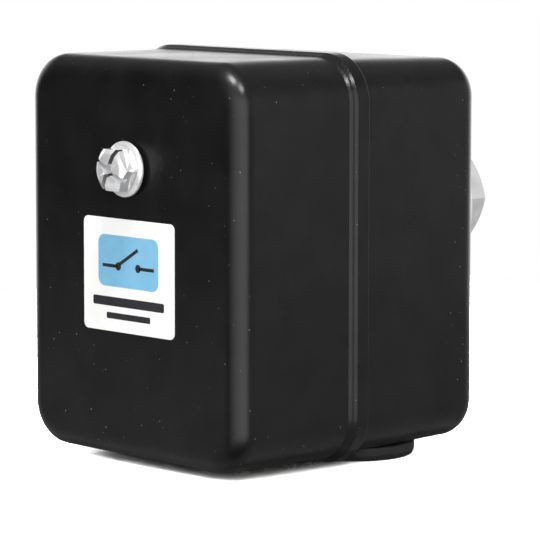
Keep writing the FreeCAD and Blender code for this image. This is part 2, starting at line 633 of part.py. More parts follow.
def make_adjuster(name, turns, flats, tall, stud_top):
    """A stud with its spring on the lever, a seat washer and an adjusting nut."""
    across, stud, coil, wire, seat = (name + size for size in (
        "_across", "_stud", "_coil", "_wire", "_seat_up"))
    floor_low = "box_floor - box_deep"
    rod = Piece(name + "_stud").stand(across, "spring_away")
    rod.turned((("0", floor_low), (stud, floor_low), (stud, stud_top + " - 0.5"),
                (stud + " - 0.5", stud_top), ("0", stud_top)))
    Piece(name + "_spring").stand(across, "spring_away").coil(
        coil, wire, "lever_top", seat, turns)
    washer = Piece(name + "_seat").stand(across, "spring_away", seat)
    rim = "%s + %s + 0.4" % (coil, wire)
    bore = stud + " + 0.15"
    washer.turned(((bore, "0"), (rim, "0"), (rim, "seat_thick"), (bore, "seat_thick")))
    nut = Piece(name + "_nut").stand(across, "spring_away", seat + " + seat_thick")
    nut.prism("0", "0", "0", flats, tall)
    nut.hole("0", "0", "-1", stud + " + 0.05", tall + " + 2")


make_cover()
make_box()
make_port()
make_frame()
make_bridge()
make_block()
make_mechanism()
make_adjuster("range", turns="8", flats="10", tall="5", stud_top="27")
make_adjuster("differential", turns="11", flats="7", tall="4", stud_top="20.5")
document.recompute()

failed = [item.Name for item in document.Objects
          if "Invalid" in item.State or "Error" in item.State]
assert not failed, "failed features: %s" % failed
for piece in PIECES:
    shape = piece.body.Shape
    assert not shape.isNull() and shape.isValid() and shape.Volume > 0, piece.body.Label
    assert len(shape.Solids) == 1, piece.body.Label
    shape.exportStep("parts/%s.step" % piece.body.Label)
    bounds = shape.BoundBox
    print("%-22s %9.1f mm3  x %.1f..%.1f  y %.1f..%.1f  z %.1f..%.1f" % (
        piece.body.Label, shape.Volume, bounds.XMin, bounds.XMax,
        bounds.YMin, bounds.YMax, bounds.ZMin, bounds.ZMax))
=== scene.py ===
import json
import math

import bmesh
import bpy
from mathutils import Matrix, Vector


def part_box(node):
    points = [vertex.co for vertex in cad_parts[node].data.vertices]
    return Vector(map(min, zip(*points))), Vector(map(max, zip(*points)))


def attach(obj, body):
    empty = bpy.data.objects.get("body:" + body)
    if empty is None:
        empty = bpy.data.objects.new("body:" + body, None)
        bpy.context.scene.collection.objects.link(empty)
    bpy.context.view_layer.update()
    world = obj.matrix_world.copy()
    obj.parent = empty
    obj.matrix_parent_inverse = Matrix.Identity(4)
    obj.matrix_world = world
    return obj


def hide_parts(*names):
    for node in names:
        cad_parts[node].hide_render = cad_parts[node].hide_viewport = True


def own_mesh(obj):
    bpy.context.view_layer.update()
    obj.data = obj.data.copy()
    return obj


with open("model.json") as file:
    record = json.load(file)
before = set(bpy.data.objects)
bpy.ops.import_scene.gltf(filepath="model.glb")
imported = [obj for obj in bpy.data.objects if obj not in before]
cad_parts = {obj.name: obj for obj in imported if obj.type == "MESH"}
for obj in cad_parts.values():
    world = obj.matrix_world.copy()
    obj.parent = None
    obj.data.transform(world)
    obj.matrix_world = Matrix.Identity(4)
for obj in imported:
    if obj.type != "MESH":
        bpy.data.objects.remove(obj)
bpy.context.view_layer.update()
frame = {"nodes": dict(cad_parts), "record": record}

# The looks of a pressure switch: a black cover and box standing on two cable grommets,
# with its cover facing -Y and its pressure port pointing +Y. Lengths are in metres.

MM = 0.001
RECORD = frame["record"]
BODY_OF = {node: body for body, nodes in RECORD["behaviour"]["bodies"].items()
           for node in nodes}
SLOT_OF = {row["node"]: row["material_slot"] for row in RECORD["subparts"]}

ARC_STEP = math.radians(7.5)
CORNER_STEPS = 16
LATHE_STEPS = 96


# ---------------------------------------------------------------- places in the frame
def middle(node):
    """The middle of a CAD node's box."""
    low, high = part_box(node)
    return (low + high) / 2


def half(node):
    """Half the size of a CAD node's box."""
    low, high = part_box(node)
    return (high - low) / 2


# ---------------------------------------------------------------- mesh building
def rounded_path(corners, closed=False):
    """Points through corners (a, b, radius), each corner rounded by an arc."""
    path = []
    count = len(corners)
    for index, (a, b, radius) in enumerate(corners):
        here = Vector((a, b))
        at_end = not closed and index in (0, count - 1)
        if radius == 0 or at_end:
            path.append(here)
            continue
        back = (Vector(corners[index - 1][:2]) - here).normalized()
        ahead = (Vector(corners[(index + 1) % count][:2]) - here).normalized()
        half_angle = back.angle(ahead) / 2
        centre = here + (back + ahead).normalized() * radius / math.sin(half_angle)
        first = here + back * radius / math.tan(half_angle) - centre
        last = here + ahead * radius / math.tan(half_angle) - centre
        turn = math.atan2(first.cross(last), first.dot(last))
        steps = max(2, round(abs(turn) / ARC_STEP))
        for step in range(steps + 1):
            path.append(centre + Matrix.Rotation(turn * step / steps, 2) @ first)
    return path


def rectangle(half_wide, half_tall, radius):
    """Points (across, up) round a rectangle with round corners."""
    points = []
    for quarter, (side, level) in enumerate(((1, 1), (-1, 1), (-1, -1), (1, -1))):
        for step in range(CORNER_STEPS + 1):
            angle = math.pi / 2 * (quarter + step / CORNER_STEPS)
            points.append(Vector((side * (half_wide - radius) + radius * math.cos(angle),
                                  level * (half_tall - radius) + radius * math.sin(angle))))
    return points


def solid(name, rings, closed=False):
    """A mesh object through rings of points: a closed loop of rings, or capped ends."""
    count = len(rings[0])
    vertices = [point for ring in rings for point in ring]
    rows = len(rings) if closed else len(rings) - 1
    faces = []
    for row in range(rows):
        start, following = row * count, (row + 1) % len(rings) * count
        for column in range(count):
            beside = (column + 1) % count
            faces.append((start + column, start + beside,
                          following + beside, following + column))
    if not closed:
        faces.append(tuple(reversed(range(count))))
        faces.append(tuple(range(len(vertices) - count, len(vertices))))
    mesh = bpy.data.meshes.new(name)
    mesh.from_pydata(vertices, [], faces)
    work = bmesh.new()
    work.from_mesh(mesh)
    bmesh.ops.recalc_face_normals(work, faces=work.faces)
    work.to_mesh(mesh)
    work.free()
    piece = bpy.data.objects.new(name, mesh)
    bpy.context.scene.collection.objects.link(piece)
    return piece


def lathe(name, profile, centre, axis, closed=True, steps=LATHE_STEPS):
    """A solid of revolution; the profile's points are a radius and a height along the axis."""
    turn = Vector(axis).to_track_quat("Z", "Y")
    rings = []
    for radius, height in profile:
        ring = []
        for step in range(steps):
            angle = math.tau * step / steps
            spoke = Vector((radius * math.cos(angle), radius * math.sin(angle), height))
            ring.append(centre + turn @ spoke)
        rings.append(ring)
    return solid(name, rings, closed)


def applied(piece):
    """Turn the piece's modifiers into its mesh."""
    graph = bpy.context.evaluated_depsgraph_get()
    mesh = bpy.data.meshes.new_from_object(piece.evaluated_get(graph))
    piece.modifiers.clear()
    piece.data = mesh
    return piece


def combine(piece, operation, *tools):
    """Join the tools to the piece, cut them out of it or keep what they share."""
    for tool in tools:
        modifier = piece.modifiers.new(operation, "BOOLEAN")
        modifier.operation = operation
        modifier.solver = "EXACT"
        modifier.object = tool
    applied(piece)
    for tool in tools:
        bpy.data.objects.remove(tool)
    return piece


def soften(piece, width, steps=3, angle=30):
    """Round the piece's sharp edges."""
    modifier = piece.modifiers.new("round", "BEVEL")
    modifier.width = width
    modifier.segments = steps
    modifier.limit_method = "ANGLE"
    modifier.angle_limit = math.radians(angle)
    modifier.miter_outer = "MITER_ARC"
    return piece


def shade(piece, angle=35):
    """Smooth shading that keeps flat faces flat."""
    piece.data.shade_smooth()
    piece.data.set_sharp_from_angle(angle=math.radians(angle))
    modifier = piece.modifiers.new("even", "WEIGHTED_NORMAL")
    modifier.keep_sharp = True
    modifier.weight = 90
    return piece


def stands_for(piece, material, *nodes):
    """The piece takes the place of CAD nodes: it gets the material, rides on the first node's
    body, and the nodes are hidden.
    """
    piece.data.materials.append(material)
    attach(piece, BODY_OF[nodes[0]])
    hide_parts(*nodes)
    return piece


def goes_with(piece, material, node):
    """The piece is a detail that rides with a CAD node."""
    piece.data.materials.append(material)
    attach(piece, BODY_OF[node])
    return piece


# ---------------------------------------------------------------- materials
class Look:
    """A material made of nodes; its patterns have real sizes in the object's frame."""

    def __init__(self, name, color, roughness, metallic=0.0, specular=0.5):
        self.material = bpy.data.materials.new(name)
        self.material.use_nodes = True
        self.tree = self.material.node_tree
        self.shader = self.tree.nodes["Principled BSDF"]
        self.color = (*color, 1)
        self.roughness = roughness
        self.place = self.tree.nodes.new("ShaderNodeTexCoord").outputs["Object"]
        for socket, value in (("Base Color", self.color), ("Roughness", roughness),
                              ("Metallic", metallic), ("Specular IOR Level", specular)):
            self.shader.inputs[socket].default_value = value

    def feed(self, socket, value):
        if isinstance(value, bpy.types.NodeSocket):
            self.tree.links.new(value, socket)
        else:
            socket.default_value = value

    def node(self, kind, output, inputs, **settings):
        """A node's output socket, after its settings and inputs."""
        node = self.tree.nodes.new("ShaderNode" + kind)
        for setting, value in settings.items():
            setattr(node, setting, value)
        for socket, value in inputs.items():
            self.feed(node.inputs[socket], value)
        return node.outputs[output]

    def stretched(self, stretch):
        return self.node("Mapping", 0, {"Vector": self.place, "Scale": stretch})

    def noise(self, size, detail=2.0, stretch=(1, 1, 1)):
        """Soft noise whose features are about size across."""
        return self.node("TexNoise", 0, {"Vector": self.stretched(stretch),
                                         "Scale": 1 / size, "Detail": detail})

    def spread(self, value, low, high, start=0.3, end=0.7):
        """The value's usual range stretched to another."""
        return self.node("MapRange", 0, {"Value": value, "From Min": start, "From Max": end,
                                         "To Min": low, "To Max": high})

    def math(self, operation, first, second):
        return self.node("Math", 0, {0: first, 1: second}, operation=operation)

    def blend(self, share, first, second):
        return self.node("Mix", 2, {0: share, 6: first, 7: second}, data_type="RGBA")

    def paint(self, color):
        self.feed(self.shader.inputs["Base Color"], color)
        return self

    def gloss(self, roughness):
        self.feed(self.shader.inputs["Roughness"], roughness)
        return self

    def relief(self, *layers):
        """Bumps from layers of height and depth."""
        normal = None
        for height, depth in layers:
            inputs = {"Height": height, "Distance": depth, "Strength": 1.0}
            if normal is not None:
                inputs["Normal"] = normal
            normal = self.node("Bump", 0, inputs)
        self.feed(self.shader.inputs["Normal"], normal)
        return self

    def specks(self, cell, largest, rarity):
        """A mask of small dots, most of them tiny, with at most one in each cell."""
        inputs = {"Vector": self.place, "Scale": 1 / cell}
        cells = self.node("TexVoronoi", "Distance", inputs)
        chance = self.node("SeparateColor", 0, {0: cells.node.outputs["Color"]})
        reach = self.math("MULTIPLY", self.math("POWER", chance, rarity), largest / cell)
        return self.math("LESS_THAN", cells, reach)


def black_shell(name, streaks):
    """Semi-gloss black plastic with a fine skin, a little dust and faint mould streaks."""
    look = Look(name, (0.0055, 0.0055, 0.0057), 0.3, specular=0.22)
    dust = look.specks(1.1 * MM, 0.15 * MM, 8.0)
    cloud = look.spread(look.noise(9 * MM, 4), 0.004, 0.007)
    body = look.node("CombineColor", 0, {0: cloud, 1: cloud, 2: cloud})
    look.paint(look.blend(dust, body, (0.25, 0.25, 0.24, 1)))
    wipe = look.spread(look.noise(14 * MM, 5, (1, 1, 0.35)), 0.25, 0.34)
    look.gloss(look.math("MAXIMUM", wipe, look.math("MULTIPLY", dust, 0.7)))
    layers = [(look.noise(0.45 * MM, 3), 0.006 * MM), (look.noise(16 * MM, 1), 0.10 * MM)]
    if streaks:
        layers.append((look.noise(0.9 * MM, 2, (1, 0.04, 1)), 0.005 * MM))
    return look.relief(*layers).material


def rubber():
    look = Look("rubber", (0.016, 0.016, 0.017), 0.62, specular=0.35)
    bloom = look.spread(look.noise(5 * MM, 4), 0.013, 0.024)
    look.paint(look.node("CombineColor", 0, {0: bloom, 1: bloom, 2: bloom}))
    look.gloss(look.spread(look.noise(3 * MM, 3), 0.52, 0.72))
    return look.relief((look.noise(0.25 * MM, 3), 0.02 * MM)).material


def plated(name, color, low, high, grain=0.004, metallic=0.75):
    """Bright plate with faint waves and wipe marks."""
    look = Look(name, color, low, metallic=metallic)
    look.gloss(look.spread(look.noise(2.5 * MM, 4), low, high))
    shade_of = [channel * 0.82 for channel in color]
    look.paint(look.blend(look.spread(look.noise(4 * MM, 3), 0, 1), look.color,
                          (*shade_of, 1)))
    return look.relief((look.noise(1.2 * MM, 2), grain * MM)).material


def zinc_sheet():
    """Zinc-plated sheet steel: soft spangle, cloudy blotches and fine rolling lines."""
    look = Look("zinc_sheet", (0.62, 0.63, 0.65), 0.36, metallic=0.8)
    inputs = {"Vector": look.place, "Scale": 1 / (3.2 * MM), "Smoothness": 0.6}
    spangle = look.node("TexVoronoi", "Color", inputs, feature="SMOOTH_F1")
    grey = look.node("RGBToBW", 0, {0: spangle})
    cloud = look.math("ADD", look.math("MULTIPLY", grey, 0.45),
                      look.math("MULTIPLY", look.noise(2.2 * MM, 5), 0.75))
    look.paint(look.blend(look.spread(cloud, 0, 1, 0.4, 0.8), (0.40, 0.41, 0.42, 1),
                          (0.78, 0.79, 0.80, 1)))
    lines = look.noise(0.22 * MM, 2, (0.05, 1, 1))
    look.gloss(look.spread(look.math("ADD", look.math("MULTIPLY", grey, 0.5),
                                     look.math("MULTIPLY", lines, 0.5)), 0.24, 0.46))
    return look.relief((lines, 0.004 * MM), (look.noise(3 * MM, 2), 0.03 * MM)).material


def yellow_zinc():
    """Yellow passivated zinc, which shifts from straw to pale green and rose."""
    look = Look("yellow_zinc", (0.78, 0.66, 0.36), 0.3, metallic=1.0)
    straw, leaf, rose = (0.80, 0.66, 0.33, 1), (0.62, 0.68, 0.42, 1), (0.78, 0.55, 0.45, 1)
    cloudy = look.blend(look.spread(look.noise(2.0 * MM, 3), 0, 1), straw, leaf)
    look.paint(look.blend(look.spread(look.noise(1.3 * MM, 2), 0, 0.6, 0.5, 0.7), cloudy, rose))
    look.gloss(look.spread(look.noise(1.5 * MM, 3), 0.22, 0.38))
    return look.relief((look.noise(0.4 * MM, 2), 0.006 * MM)).material


def brass():
    """Rolled brass with darker stains."""
    look = Look("brass", (0.80, 0.58, 0.25), 0.25, metallic=1.0)
    stain = look.spread(look.noise(1.8 * MM, 4), 0, 1, 0.45, 0.7)
    look.paint(look.blend(stain, look.color, (0.55, 0.36, 0.14, 1)))
    look.gloss(look.spread(look.noise(1.2 * MM, 3), 0.18, 0.36))
    return look.relief((look.noise(0.3 * MM, 2, (0.1, 1, 1)), 0.004 * MM)).material


def phenolic():
    """Glossy black moulding with flow marks."""
    look = Look("phenolic", (0.009, 0.009, 0.009), 0.16)
    flow = look.spread(look.noise(6 * MM, 4, (0.5, 1, 1)), 0.006, 0.014)
    look.paint(look.node("CombineColor", 0, {0: flow, 1: flow, 2: flow}))
    look.gloss(look.spread(look.noise(5 * MM, 4), 0.12, 0.26))
    return look.relief((look.noise(0.6 * MM, 3), 0.008 * MM),
                       (look.noise(9 * MM, 2), 0.12 * MM)).material


def vinyl():
    """Off-white label stock, a little dirty."""
    look = Look("label_vinyl", (0.83, 0.83, 0.82), 0.38)
    grime = look.spread(look.noise(7 * MM, 5), 0, 0.5, 0.5, 0.8)
    look.paint(look.blend(grime, look.color, (0.76, 0.76, 0.74, 1)))
    look.gloss(look.spread(look.noise(2 * MM, 3), 0.32, 0.44))
    return look.relief((look.noise(0.3 * MM, 3), 0.003 * MM)).material


def print_ink(name, first, second):
    """Screen-printed ink, uneven in tone."""
    look = Look(name, first, 0.4)
    look.paint(look.blend(look.spread(look.noise(3 * MM, 4), 0, 1), look.color, (*second, 1)))
    look.gloss(look.spread(look.noise(0.8 * MM, 3), 0.34, 0.46))
    return look.relief((look.noise(0.15 * MM, 2), 0.002 * MM)).material


COVER_BLACK = black_shell("cover_black", False)
BOX_BLACK = black_shell("box_black", True)
RUBBER = rubber()
CHROME = plated("chrome", (0.90, 0.90, 0.91), 0.06, 0.16, 0.006, 0.55)
NICKEL = plated("nickel", (0.74, 0.72, 0.68), 0.12, 0.28)
SPRING_STEEL = plated("spring_steel", (0.60, 0.61, 0.63), 0.16, 0.32)
ZINC = zinc_sheet()
YELLOW_ZINC = yellow_zinc()
BRASS = brass()
PHENOLIC = phenolic()
VINYL = vinyl()
BLUE_INK = print_ink("blue_ink", (0.17, 0.42, 0.62), (0.20, 0.46, 0.66))
BLACK_INK = print_ink("black_ink", (0.012, 0.012, 0.014), (0.02, 0.02, 0.022))


# ---------------------------------------------------------------- cover
def shell(name, corners, half_wide, half_tall, radius, centre):
    """A tray from a section of (inset, y, rounding) swept round a rounded rectangle."""
    rings = []
    for inset, y in rounded_path(corners):
        outline = rectangle(half_wide - inset, half_tall - inset, radius - inset)
        rings.append([Vector((centre.x + across, y, centre.z + up)) for across, up in outline])
    return solid(name, rings)


def make_cover():
    """The cover: a deep tray whose skirt swells out over the rim of the box."""
    low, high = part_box("cover")
    step, wall, skirt_wall = 1.07 * MM, 1.5 * MM, 0.98 * MM
    corner, edge, soft = 10.8 * MM + step, 5.2 * MM, 0.8 * MM
    front, rear = low.y, high.y
    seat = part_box("housing")[0].y - 0.1 * MM
    inside = step + wall
    skirt_end = rear - 3.7 * MM
    slope = [(share * step, skirt_end - along, soft) for share, along in
             ((0, 0), (0.40, 0.85 * MM), (0.60, 1.4 * MM), (1, 2.25 * MM))]
    section = (
        (inside + edge, front + wall, 0), (inside, front + wall, edge - wall),
        (inside, seat, 0.2 * MM), (skirt_wall, seat, 0.2 * MM),
        (skirt_wall, rear, 0.25 * MM), (0, rear, 0.45 * MM),
        *slope, (step, front, edge), (step + edge, front, 0))
    size = half("cover")
    cover = shell("cover_shell", section, size.x, size.z, corner, middle("cover"))
    hole_radius, hole_deep = 3.3 * MM, 6 * MM
    screw = middle("cover_screw")
    drill = lathe("drill", ((hole_radius, 0), (hole_radius, hole_deep)),
                  Vector((screw.x, front - hole_deep / 3, screw.z)), (0, 1, 0), closed=False)
    combine(cover, "DIFFERENCE", drill)
    return stands_for(shade(cover), COVER_BLACK, "cover")


def make_seal():
    low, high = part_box("seal_washer")
    outer, inner, thick = (high.x - low.x) / 2, 2.7 * MM, high.y - low.y
    profile = rounded_path(((inner, 0, 0), (outer, 0, 0.3 * MM), (outer, thick, 0.3 * MM),
                            (inner, thick, 0)), closed=True)
    centre = middle("seal_washer")
    centre.y = high.y
    seal = lathe("seal_ring", profile, centre, (0, -1, 0))
    return stands_for(shade(seal), RUBBER, "seal_washer")


def make_cover_screw():
    """A hex washer head: dished flange, crowned hexagon and a cross slot with a recess."""
    low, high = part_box("cover_screw")
    flange = (high.x - low.x) / 2
    centre = middle("cover_screw")
    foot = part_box("seal_washer")[0].y
    centre.y = foot
    tall, reach = foot - low.y, high.y - foot
    flats = 9.8 * MM
    corner = flats / math.sqrt(3)
    shank = 2.4 * MM
    head = lathe("screw_head", rounded_path((
        (0.3 * MM, -1 * MM, 0), (shank, -1 * MM, 0), (shank, 0, 0),
        (flange - 0.2 * MM, 0, 0.1 * MM), (flange, 0.35 * MM, 0.2 * MM),
        (flange - 0.1 * MM, 0.85 * MM, 0.15 * MM), (corner + 0.1 * MM, 1.25 * MM, 0.3 * MM),
        (0.3 * MM, 1.3 * MM, 0))), centre, (0, -1, 0), closed=False)
    hexagon = lathe("hexagon", ((corner, 0.5 * MM), (corner, tall)), centre, (0, -1, 0),
                    closed=False, steps=6)
    crown = lathe("crown", rounded_path((
        (0.2 * MM, 0.4 * MM, 0), (corner + 1 * MM, 0.4 * MM, 0),
        (corner + 1 * MM, tall - 2.0 * MM, 0), (4.0 * MM, tall - 0.25 * MM, 1.2 * MM),
        (0.2 * MM, tall, 0))), centre, (0, -1, 0), closed=False)
    combine(hexagon, "INTERSECT", crown)
    combine(head, "UNION", hexagon)
    slot, deep, recess = 0.65 * MM, 2.4 * MM, 1.75 * MM
    tools = [lathe("recess", ((0.5 * MM, tall - deep - 0.6 * MM), (recess * 0.75, tall - deep),
                              (recess, tall + 1 * MM)), centre, (0, -1, 0), closed=False,
                   steps=48)]
    for turn in (-27, 63):
        along = Vector((math.cos(math.radians(turn)), 0, math.sin(math.radians(turn))))
        beside = Vector((-along.z, 0, along.x))
        section = rounded_path(((-slot, 1 * MM, 0), (-slot * 0.85, -deep, 0.4 * MM),
                                (slot * 0.85, -deep, 0.4 * MM), (slot, 1 * MM, 0)))
        rings = [[centre + along * end * flats + beside * aside
                  + Vector((0, -tall - up, 0)) for aside, up in section]
                 for end in (-1, 1)]
        tools.append(solid("slot", rings))
    combine(head, "DIFFERENCE", *tools)
    soften(head, 0.28 * MM, 3, 32)
    stands_for(shade(head, 50), CHROME, "cover_screw")
    thread = thread_bar("screw_thread", shank, 0.8 * MM, centre, (0, 1, 0), 0.9 * MM, reach)
    return goes_with(thread, CHROME, "cover_screw")


def thread_bar(name, radius, pitch, centre, axis, low, high, around=40):
    """A threaded rod: a cylinder whose radius follows a helix of V-shaped grooves."""
    depth, rows_each = 0.54 * pitch, 8
    turn = Vector(axis).to_track_quat("Z", "Y")
    rows = max(2, round((high - low) / pitch * rows_each))
    rings = []
    for row in range(rows + 1):
        height = low + (high - low) * row / rows
        fade = min(1, (high - height) / pitch, (height - low) / pitch + 0.2)
        ring = []
        for step in range(around):
            phase = (height / pitch - step / around) % 1
            groove = max(0, 1 - 2.4 * abs(phase - 0.5))
            here = radius - depth * groove * fade
            if row == rows:
                here -= 0.3 * pitch
            angle = math.tau * step / around
            ring.append(centre + turn @ Vector((here * math.cos(angle),
                                                here * math.sin(angle), height)))
        rings.append(ring)
    return shade(solid(name, rings), 60)


# ---------------------------------------------------------------- label
def flat_piece(name, outline, front, thick):
    """A thin sheet that faces -Y, from its outline of (x, z) points."""
    rings = [[Vector((x, front + depth, z)) for x, z in outline] for depth in (thick, 0)]
    return solid(name, rings)


def make_label():
    low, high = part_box("label_plate")
    centre, size = middle("label_plate"), half("label_plate")
    sheet_edge = 0.06 * MM
    rings = []
    for inset, y in ((0, high.y), (0, low.y + sheet_edge), (sheet_edge, low.y)):
        outline = rectangle(size.x - inset, size.z - inset, 1.5 * MM)
        rings.append([Vector((centre.x + x, y, centre.z + z)) for x, z in outline])
    stands_for(shade(solid("label_sheet", rings)), VINYL, "label_plate")
    ink = 0.02 * MM

    def print_shape(name, outline, material, layer=1):
        shape = flat_piece(name, outline, low.y - ink * layer, ink * (layer + 0.5))
        goes_with(shade(shape), material, "label_plate")

    def bar(x, z, half_wide, half_tall, radius):
        return [(centre.x + x + a, centre.z + z + b)
                for a, b in rectangle(half_wide, half_tall, radius)]

    def stroke(start, end, width):
        along = (Vector(end) - Vector(start)).normalized() * width / 2
        beside = Vector((-along.y, along.x))
        corners = (Vector(start) - along - beside, Vector(end) + along - beside,
                   Vector(end) + along + beside, Vector(start) - along + beside)
        return [(centre.x + x, centre.z + z) for x, z in corners]

    def dot(x, z, radius):
        return [(centre.x + x + radius * math.cos(math.tau * step / 32),
                 centre.z + z + radius * math.sin(math.tau * step / 32))
                for step in range(32)]

    print_shape("label_panel", bar(0, 3.4 * MM, 11 * MM, 6.2 * MM, 2.2 * MM), BLUE_INK)
    line, level = 0.8 * MM, 2.2 * MM
    for side in (-1, 1):
        print_shape("label_wire_%s" % ("left" if side < 0 else "right"),
                    stroke((side * 9 * MM, level), (side * 4.4 * MM, level), line),
                    BLACK_INK, 2)
        print_shape("label_contact_%s" % ("left" if side < 0 else "right"),
                    dot(side * 3.6 * MM, level, 1.0 * MM), BLACK_INK, 2)
    print_shape("label_blade", stroke((-3.4 * MM, level + 0.4 * MM),
                                      (3.2 * MM, level + 4.2 * MM), line), BLACK_INK, 3)
    print_shape("label_bar_long", bar(0, -6.4 * MM, 13 * MM, 1.1 * MM, 0.5 * MM), BLACK_INK)
    print_shape("label_bar_short", bar(0, -9.8 * MM, 8 * MM, 0.75 * MM, 0.35 * MM), BLACK_INK)


# ---------------------------------------------------------------- box and grommets
def make_box():
    """The box: a tapered tray with a lip round its rim."""
    low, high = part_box("housing")
    corner, wall, floor, edge = 10.5 * MM, 1.6 * MM, 2.0 * MM, 6.0 * MM
    lip, lip_deep, draft = 0.3 * MM, 1.8 * MM, math.tan(math.radians(1.24))
    rim, back = low.y, high.y
    inside = lip + wall
    slack = draft * (back - rim)
    section = (
        (inside + slack + edge, back - floor, 0), (inside + slack, back - floor, edge - floor),
        (inside, rim, 0.3 * MM), (0, rim, 0.4 * MM), (0, rim + lip_deep, 0.15 * MM),
        (lip, rim + lip_deep + 0.2 * MM, 0.2 * MM), (lip + slack, back, edge),
        (lip + slack + edge, back, 0))
    size = half("housing")
    box = shell("box_shell", section, size.x, size.z, corner, middle("housing"))
    drills = []

    def drill(place, radius, axis, steps):
        drills.append(lathe("drill", ((radius, 0), (radius, 8 * MM)), place, axis,
                            closed=False, steps=steps))

    for side in ("left", "right"):
        centre = middle("grommet_" + side)
        centre.z = low.z - 2 * MM
        drill(centre, 11.1 * MM, (0, 0, 1), LATHE_STEPS)
    port = middle("port_fitting")
    port.y = back - 6 * MM
    drill(port, 6 * MM, (0, 1, 0), 48)
    for index in range(1, 5):
        centre = middle("flange_screw_%d" % index)
        centre.y = port.y
        drill(centre, 2.15 * MM, (0, 1, 0), 24)
    combine(box, "DIFFERENCE", *drills)
    return stands_for(shade(box), BOX_BLACK, "housing")


def make_grommet(side):
    """A rubber grommet: a broad face ring outside, a neck and a tapered lip inside."""
    node = "grommet_" + side
    low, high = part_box(node)
    centre = middle(node)
    centre.z = low.z
    outer, tall = (high.x - low.x) / 2, high.z - low.z
    bore, neck, lip = 8.15 * MM, 11.05 * MM, 12.9 * MM
    seat, inside = 3.55 * MM, 5.9 * MM
    profile = rounded_path((
        (bore, 1.6 * MM, 0.8 * MM), (bore + 1.4 * MM, 0.0, 0.5 * MM),
        (outer - 2.6 * MM, 0.0, 0.3 * MM), (outer - 2.3 * MM, 0.3 * MM, 0.15 * MM),
        (outer - 2.0 * MM, 0.3 * MM, 0.15 * MM), (outer - 1.7 * MM, 0.1 * MM, 0.2 * MM),
        (outer - 0.5 * MM, 0.35 * MM, 0.6 * MM), (outer, 1.5 * MM, 0.6 * MM),
        (outer, seat, 0.4 * MM), (neck, seat, 0.2 * MM), (neck, inside, 0.2 * MM),
        (lip, inside, 0.4 * MM), (lip, inside + 1.0 * MM, 0.5 * MM),
        (lip - 1.2 * MM, tall, 0.5 * MM), (bore + 0.9 * MM, tall, 0.4 * MM),
        (bore, tall - 1.0 * MM, 0.4 * MM)), closed=True)
    grommet = lathe("grommet_ring_" + side, profile, centre, (0, 0, 1))
    return stands_for(shade(grommet), RUBBER, node)


# ---------------------------------------------------------------- port
def make_port():
    """The port: a chamfered hexagon with a tapped bore, on a spigot in the flange."""
    low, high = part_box("port_fitting")
    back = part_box("port_flange")[1].y
    centre = middle("port_fitting")
    centre.y = 0
    flats, face, chamfer = 22.2 * MM, 10.9 * MM, 1.3 * MM
    corner = flats / math.sqrt(3)
    spigot, orifice, tap = 9.6 * MM, 2.5 * MM, 6.3 * MM
    tap_deep = 14 * MM
    away = (0, 1, 0)
    port = lathe("port_hexagon", ((corner, back), (corner, high.y)), centre, away,
                 closed=False, steps=6)
    crown = lathe("crown", rounded_path((
        (0.5 * MM, back - 1 * MM, 0), (corner + 1 * MM, back - 1 * MM, 0),
        (corner + 1 * MM, high.y - chamfer - 0.68 * MM, 0), (face, high.y, 0.4 * MM),
        (0.5 * MM, high.y, 0))), centre, away, closed=False)
    combine(port, "INTERSECT", crown)
    combine(port, "UNION", lathe("spigot", ((spigot, low.y), (spigot, back + 1 * MM)), centre,
                                 away, closed=False))
    countersink = lathe("countersink", ((tap - 0.8 * MM, high.y - 0.9 * MM),
                                        (tap + 0.4 * MM, high.y + 0.3 * MM)), centre, away,
                        closed=False)
    passage = lathe("passage", ((orifice, low.y - 1 * MM), (orifice, high.y)), centre, away,
                    closed=False, steps=48)
    tap_tool = thread_bar("tap", tap, 1.41 * MM, centre, away, high.y - tap_deep,
                          high.y + 2 * MM, around=64)
    tap_tool.modifiers.clear()
    combine(port, "DIFFERENCE", countersink, passage, tap_tool)
    soften(port, 0.1 * MM, 2, 35)
    return stands_for(shade(port, 40), CHROME, "port_fitting")


# ---------------------------------------------------------------- springs and studs
def make_spring(node, wire, turns):
    """A round-wire spring along y whose end turns lie closed."""
    low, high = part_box(node)
    centre, coil = middle(node), half(node).x - wire
    closed_turns, around, steps_each = 0.9, 12, 32
    reach = high.y - low.y - 2 * wire
    end_rise = 2 * wire * closed_turns
    pitch = (reach - 2 * end_rise) / (turns - 2 * closed_turns)
    rings = []
    for step in range(round(turns * steps_each) + 1):
        turn = step / steps_each
        rise = (min(turn, closed_turns) * 2 * wire
                + max(0, min(turn, turns - closed_turns) - closed_turns) * pitch
                + max(0, turn - turns + closed_turns) * 2 * wire)
        angle = math.tau * turn
        outward = Vector((math.cos(angle), 0, math.sin(angle)))
        here = Vector((centre.x, low.y + wire + rise, centre.z)) + outward * coil
        rings.append([here + (outward * math.cos(math.tau * part / around)
                              + Vector((0, math.sin(math.tau * part / around), 0))) * wire
                      for part in range(around)])
    return stands_for(shade(solid(node + "_wire", rings), 60), SPRING_STEEL, node)


def make_stud(node, pitch):
    """A stud: a plain shank with a thread where the nut runs."""
    low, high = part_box(node)
    centre, radius = middle(node), half(node).x
    centre.y = high.y
    plain, tall = high.y - low.y - 17 * MM, high.y - low.y
    shank_radius = radius * 0.93
    shank = lathe(node + "_shank", ((shank_radius, 0), (shank_radius, plain)), centre,
                  (0, -1, 0), closed=False, steps=32)
    stands_for(shade(shank), NICKEL, node)
    thread = thread_bar(node + "_thread", radius, pitch, centre, (0, -1, 0), plain, tall)
    return goes_with(thread, NICKEL, node)


